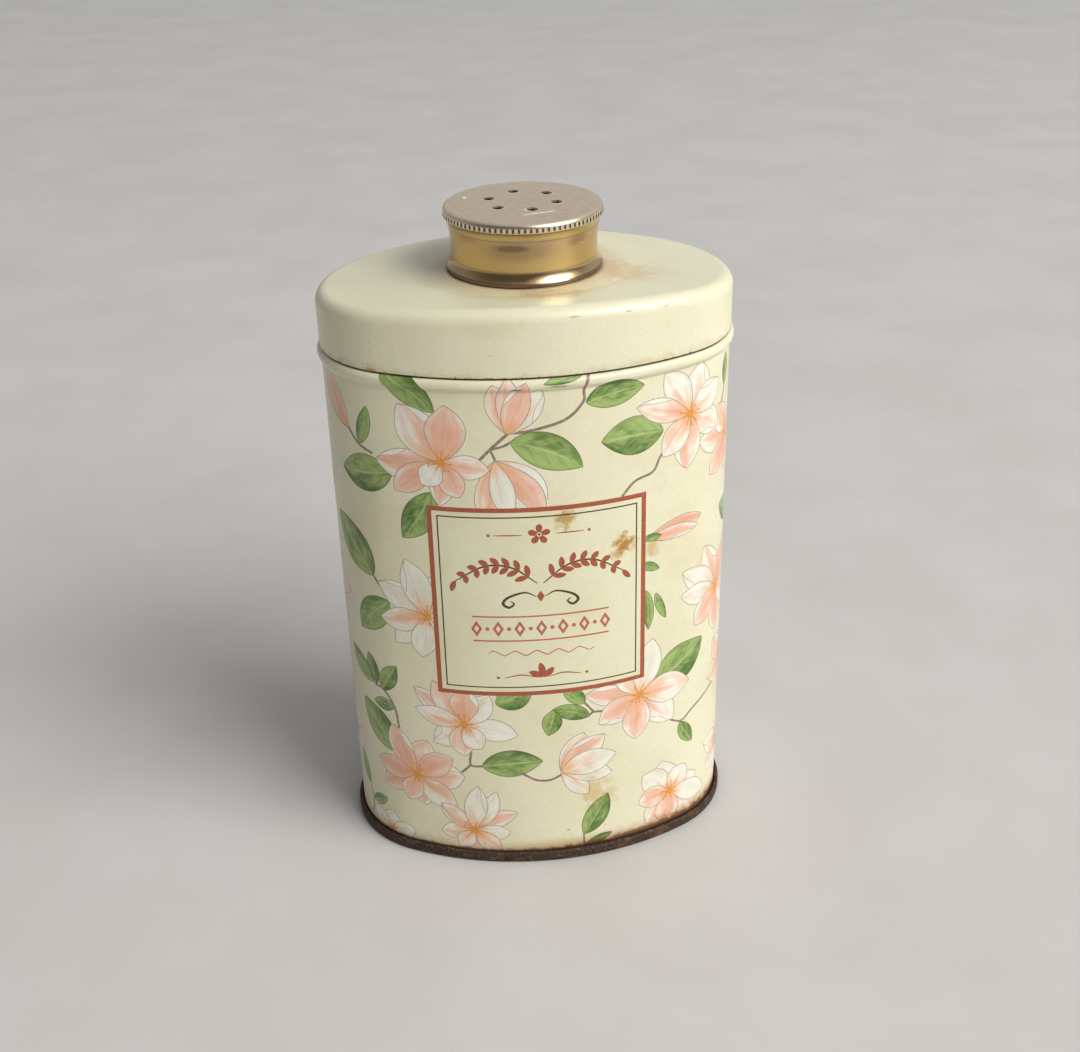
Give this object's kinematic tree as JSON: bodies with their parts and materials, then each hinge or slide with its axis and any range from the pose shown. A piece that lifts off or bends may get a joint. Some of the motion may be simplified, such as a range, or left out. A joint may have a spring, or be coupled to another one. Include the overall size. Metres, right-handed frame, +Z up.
{
  "type": "talcum powder tin",
  "caption": "Oval printed tinplate talcum powder tin with a slip-on rounded shoulder, a gold twist sifter top and a double-seamed countersunk base.",
  "frame": {"origin": "centre of the oval base, on the plane the tin stands on", "axes": "+Z up along the tin and the sifter's axis, +X along the oval's long axis, printed label faces -Y"},
  "size_m": [0.0844, 0.0548, 0.1404],
  "materials": {
    "printed_tinplate": "satin varnish over cream print",
    "bare_tinplate": "dulled and rusted",
    "lining_compound": "matt",
    "cream_lacquer": "satin varnish",
    "natural_polythene": "waxy",
    "gold_aluminium": "anodised gold, bright barrel and satin disc"
  },
  "bodies": {
    "tin_body": {"body_shell": "printed_tinplate", "base_end": "bare_tinplate", "seam_compound": "lining_compound"},
    "lid": {"shoulder_cover": "cream_lacquer", "neck_plug": "natural_polythene"},
    "sifter": {"rotor_liner": "natural_polythene", "sifter_shell": "gold_aluminium"}
  },
  "joints": [
    {"name": "lid_lift", "type": "slide", "parent": "tin_body", "child": "lid", "axis": [0, 0, 1], "range_m": [0, 0.05]},
    {"name": "sifter_twist", "type": "hinge", "parent": "lid", "child": "sifter", "pos_m": [0, 0, 0.1278], "axis": [0, 0, 1], "range_deg": [0, 30]}
  ]
}
